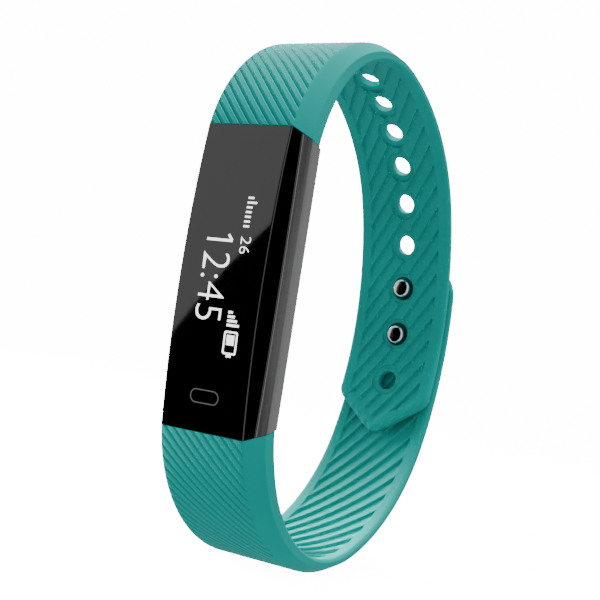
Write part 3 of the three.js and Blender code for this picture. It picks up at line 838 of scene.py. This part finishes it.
def make_cover():
    def edge(_):
        rows = []
        steps = 10
        half_width = HALF_WIDTH - COVER_SIDE_INSET
        for step in range(steps + 1):
            turn = step / steps * math.pi / 2
            inset = COVER_ROUNDING * (1 - math.cos(turn))
            depth = COVER_FRONT + COVER_ROUNDING * math.sin(turn)
            rows.append((depth, half_width - inset, inset * COVER_END_SHARE))
        rows[0] = (COVER_FRONT, half_width - 0.06, 0.06)
        return rows
    piece = tracker_slice("rear_cover_shell", edge)
    combine(piece, box("lip", (4.9, -6.25, -16.75), (6.4, 6.25, 16.75)), "UNION")
    combine(piece, box("inside", (4.0, -5.55, -16.05), (6.35, 5.55, 16.05)), "DIFFERENCE")
    smooth(piece, 30)
    finish_piece(piece, COVER_LOOK, "tracker")
    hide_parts("rear_cover")


# ---------------------------------------------------------------- what the display shows

GLYPH_LIFT = 0.012
GLYPH_THICKNESS = 0.02
STROKE_THINNING = -0.018
DAY_MARKERS = 7
DAY_PITCH = 0.62
SIGNAL_BARS = 4
SIGNAL_PITCH = 0.55


def on_window(u, v, lift):
    """A place on the window: u runs down its length, v towards the near edge."""
    crown = crown_at(u / TRACKER_HALF_LENGTH)
    return Vector((crown - lift, -v, -u))


def glyph(name, outlines, material):
    """Flat shapes on the window. outlines lists closed loops of (u, v), each a convex outline."""
    points = []
    faces = []
    for outline in outlines:
        first = len(points)
        count = len(outline)
        points.extend(on_window(u, v, GLYPH_LIFT) for u, v in outline)
        points.extend(on_window(u, v, GLYPH_LIFT + GLYPH_THICKNESS) for u, v in outline)
        faces.append(tuple(range(first, first + count)))
        faces.append(tuple(range(first + 2 * count - 1, first + count - 1, -1)))
        for i in range(count):
            ahead = (i + 1) % count
            faces.append((first + i, first + ahead, first + count + ahead, first + count + i))
    piece = object_from(name, points, faces)
    finish_piece(piece, material, "tracker")


def rectangle(u0, u1, v0, v1):
    return [(u0, v0), (u1, v0), (u1, v1), (u0, v1)]


def text_glyph(name, text, material, u_span, v_span):
    """Digits drawn in the built-in font, fitted into a span of the window."""
    curve = bpy.data.curves.new(name, "FONT")
    curve.body = text
    curve.resolution_u = 4
    curve.extrude = 1.0
    curve.offset = STROKE_THINNING
    source = new_object(name + "_text", curve)
    bpy.context.view_layer.update()
    mesh = bpy.data.meshes.new_from_object(source.evaluated_get(bpy.context.evaluated_depsgraph_get()))
    bpy.data.objects.remove(source)
    xs = [vertex.co.x for vertex in mesh.vertices]
    ys = [vertex.co.y for vertex in mesh.vertices]
    for vertex in mesh.vertices:
        along = (vertex.co.x - min(xs)) / (max(xs) - min(xs))
        up = (vertex.co.y - min(ys)) / (max(ys) - min(ys))
        u = u_span[0] + (u_span[1] - u_span[0]) * along
        v = v_span[0] + (v_span[1] - v_span[0]) * up
        lift = GLYPH_LIFT + (GLYPH_THICKNESS if vertex.co.z > 0 else 0)
        vertex.co = to_metres(on_window(u, v, lift))
    mesh.name = name
    piece = new_object(name, mesh)
    finish_piece(piece, material, "tracker")


def rounded_outline(u0, u1, v0, v1, radius):
    outline = []
    steps = 8
    centres = (
        (u1 - radius, v1 - radius), (u0 + radius, v1 - radius),
        (u0 + radius, v0 + radius), (u1 - radius, v0 + radius))
    for corner, (u, v) in enumerate(centres):
        for step in range(steps + 1):
            angle = (corner + step / steps) * math.pi / 2
            outline.append((u + radius * math.cos(angle), v + radius * math.sin(angle)))
    return outline


def ring_quads(outer, inner):
    count = len(outer)
    return [[outer[i], outer[(i + 1) % count], inner[(i + 1) % count], inner[i]] for i in range(count)]


def make_display():
    text_glyph("time_digits", "12:45", LIT_LOOK, (-4.9, 5.8), (-3.25, 1.1))
    glyph("one_flag", [[(-4.9, 1.1), (-5.62, 0.42), (-5.42, 0.17), (-4.9, 0.64)]], LIT_LOOK)
    text_glyph("date_digits", "26", LIT_LOOK, (-5.4, -3.2), (2.35, 3.95))
    make_day_markers()
    make_signal_bars()
    make_battery_sign()
    make_key_mark()


def make_day_markers():
    """One short bar for each day of the week, and a taller one for today."""
    bars = []
    for day in range(DAY_MARKERS):
        left = -10.6 + day * DAY_PITCH
        top = 3.85 if day == 1 else 3.25
        bars.append(rectangle(left, left + 0.26, 2.35, top))
    glyph("day_markers", bars, LIT_LOOK)


def make_signal_bars():
    bars = []
    for bar in range(SIGNAL_BARS):
        left = 4.25 + bar * SIGNAL_PITCH
        bars.append(rectangle(left, left + 0.33, 2.2, 2.9 + bar * 0.42))
    glyph("signal_bars", bars, LIT_LOOK)


def make_battery_sign():
    case_outer = rounded_outline(6.8, 9.8, 2.0, 4.2, 0.3)
    case_inner = rounded_outline(7.05, 9.55, 2.25, 3.95, 0.14)
    battery = ring_quads(case_outer, case_inner)
    battery.append(rectangle(9.8, 10.15, 2.7, 3.5))
    battery.append(rectangle(7.3, 8.6, 2.5, 3.7))
    glyph("battery_sign", battery, LIT_LOOK)


def make_key_mark():
    key_outer = rounded_outline(14.7, 16.55, -2.35, 2.35, 0.92)
    key_inner = rounded_outline(14.86, 16.39, -2.19, 2.19, 0.76)
    # Painted light: the printed ring gets a grey glow instead of being lit.
    glyph("touch_key_mark", ring_quads(key_outer, key_inner), KEY_PRINT_GLOW_LOOK)


# ---------------------------------------------------------------- carried-over CAD pieces

CARRIED_LOOKS = {
    "window_gasket": SEAL_LOOK,
    "display_panel": PANEL_LOOK,
    "display_flex": FLEX_LOOK,
    "touch_pad": GOLD_LOOK,
    "cover_seal": SEAL_LOOK,
    "main_board": BOARD_LOOK,
    "processor_chip": CHIP_LOOK,
    "motion_sensor": CHIP_LOOK,
    "charging_chip": CHIP_LOOK,
    "radio_antenna": CERAMIC_LOOK,
    "battery_pad": FOAM_LOOK,
    "battery_cell": FOIL_LOOK,
    "battery_lead_positive": RED_WIRE_LOOK,
    "battery_lead_negative": BLACK_WIRE_LOOK,
    "vibration_motor": FOIL_LOOK,
    "charging_tongue": COVER_LOOK,
    "charging_contact_1": GOLD_LOOK,
    "charging_contact_2": GOLD_LOOK,
    "charging_contact_3": GOLD_LOOK,
    "charging_contact_4": GOLD_LOOK,
}


def dress_carried():
    for node, look in CARRIED_LOOKS.items():
        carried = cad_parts[node]
        for place in carried.material_slots:
            place.material = look


# ---------------------------------------------------------------- stage and light

FLOOR_GAP = 0.0002
FLOOR_RADIUS = 0.45
FLOOR_BEND = 0.43
WALL_HEIGHT = 0.9
FLOOR_GLOW = 14.0


def make_floor():
    """A white floor that curves up into a wall all round, so that no edge shows behind the band."""
    floor_height = cad_box[0][2] - FLOOR_GAP
    outline = [(0.0001, 0.0), (0.2, 0.0), (FLOOR_RADIUS, 0.0)]
    bend_steps = 12
    for step in range(1, bend_steps + 1):
        turn = step / bend_steps * math.pi / 2
        outline.append((FLOOR_RADIUS + FLOOR_BEND * math.sin(turn), FLOOR_BEND * (1 - math.cos(turn))))
    outline.append((FLOOR_RADIUS + FLOOR_BEND, WALL_HEIGHT))
    steps = 96
    points = []
    for radius, height in outline:
        for step in range(steps):
            angle = 2 * math.pi * step / steps
            points.append((radius * math.cos(angle), radius * math.sin(angle), floor_height + height))
    faces = [tuple(range(steps - 1, -1, -1))] + skin_faces(len(outline), steps)
    mesh = bpy.data.meshes.new("floor")
    mesh.from_pydata(points, [], faces)
    for polygon in mesh.polygons:
        polygon.use_smooth = True
    mesh.materials.append(floor_look())
    floor = new_object("floor", mesh)
    floor.visible_diffuse = False
    floor.visible_glossy = False


def floor_look():
    material, _, shader, _ = nodes_of("floor_white")
    shader.inputs["Base Color"].default_value = (0.9, 0.9, 0.9, 1)
    shader.inputs["Roughness"].default_value = 0.9
    shader.inputs["Specular IOR Level"].default_value = 0.1
    shader.inputs["Emission Color"].default_value = (1, 1, 1, 1)
    shader.inputs["Emission Strength"].default_value = FLOOR_GLOW
    return material


def add_flag(name, corners):
    """A dark card that only reflections see, as a studio uses to shape them on glass."""
    mesh = bpy.data.meshes.new(name)
    mesh.from_pydata(corners, [], [tuple(range(len(corners)))])
    flag = new_object(name, mesh)
    material, _, shader, _ = nodes_of(name + "_black")
    shader.inputs["Base Color"].default_value = (0, 0, 0, 1)
    shader.inputs["Specular IOR Level"].default_value = 0
    mesh.materials.append(material)
    flag.visible_camera = False
    flag.visible_diffuse = False
    flag.visible_shadow = False


def mirrored(place, normal):
    """The direction in which the camera sees the surroundings mirrored at a place on the band."""
    toward = (CAMERA_PLACE - place).normalized()
    return normal * 2 * toward.dot(normal) - toward


FLAG_DISTANCE = 0.35
FLAG_REACH = 0.36
FLAG_ABOVE = 0.3
LINE_UPPER = (-7.7, 8.6)
LINE_LOWER = (8.2, -9.9)


def make_window_flag():
    """Its edge shows as the slanting line between the window's grey and black parts."""
    high, low = (line_seen_at(y, z) for y, z in (LINE_UPPER, LINE_LOWER))
    edge = (low - high).normalized()
    upper = to_metres(Vector((0, *LINE_UPPER)))
    aside = edge.cross(mirrored(upper, front_normal(0))).normalized()
    if aside.z > 0:
        aside = -aside
    corners = [high - edge * FLAG_ABOVE, low + edge * FLAG_REACH]
    corners += [corner + aside * FLAG_REACH for corner in reversed(corners)]
    add_flag("window_flag", corners)


def line_seen_at(y, z):
    """Where the flag's edge has to pass, to be mirrored at a place on the window."""
    place = to_metres(Vector((0, y, z)))
    return place + mirrored(place, front_normal(z)) * FLAG_DISTANCE


def front_normal(z):
    """The window bulges along the band, so it faces a little upwards above its middle and down below it."""
    slope = 2 * WINDOW_CROWN * z / TRACKER_HALF_LENGTH ** 2
    return Vector((-1, 0, slope)).normalized()


SIDE_FLAG_DISTANCE = 0.4
SIDE_FLAG_HALF_WIDTH = 0.12
SIDE_FLAG_HALF_HEIGHT = 0.3


def make_side_flag():
    """It keeps the window's bevelled edge black."""
    normal = Vector((-BEVEL_WIDTH, -BEVEL_DEPTH, 0)).normalized()
    place = to_metres(Vector((1, -7, 0)))
    middle = place + mirrored(place, normal) * SIDE_FLAG_DISTANCE
    toward = (place - middle).normalized()
    aside = toward.cross(Vector((0, 0, 1))).normalized() * SIDE_FLAG_HALF_WIDTH
    rise = Vector((0, 0, SIDE_FLAG_HALF_HEIGHT))
    add_flag("side_flag", [
        middle - aside - rise, middle + aside - rise, middle + aside + rise, middle - aside + rise])


def add_light(name, place, target, size, watts, spread=math.pi):
    data = bpy.data.lights.new(name, "AREA")
    data.shape = "RECTANGLE"
    data.size, data.size_y = size
    data.energy = watts
    data.spread = spread
    light = bpy.data.objects.new(name, data)
    bpy.context.scene.collection.objects.link(light)
    light.location = place
    aim = Vector(target) - Vector(place)
    light.rotation_euler = aim.to_track_quat("-Z", "Y").to_euler()
    light.visible_camera = False


WORLD_STRENGTH = 0.85


def make_lights():
    """A white surrounding, a soft light above and behind, and a narrow one on the ribs inside the bottom."""
    world = bpy.data.worlds.new("studio")
    bpy.context.scene.world = world
    world.use_nodes = True
    background = world.node_tree.nodes["Background"]
    background.inputs["Color"].default_value = (1, 1, 1, 1)
    background.inputs["Strength"].default_value = WORLD_STRENGTH
    add_light("top", (0.05, -0.05, 0.55), (0, 0, 0), (0.20, 0.30), 5.5)
    add_light("back", (0.16, 0.42, 0.14), (0, 0, -0.03), (0.30, 0.30), 4.0)
    add_light(
        "inside", (-0.03, 0.10, 0.0), (-0.008, 0, -0.036), (0.03, 0.03), 0.03, spread=math.radians(22))


make_window()
make_frame()
make_cover()
make_display()
make_hole_strap()
make_clasp_strap()
make_clasp_plate()
make_peg("peg_upper_shell", "clasp_peg_upper", 0)
make_peg("peg_lower_shell", "clasp_peg_lower", 1)
dress_carried()
make_floor()
make_window_flag()
make_side_flag()
make_lights()
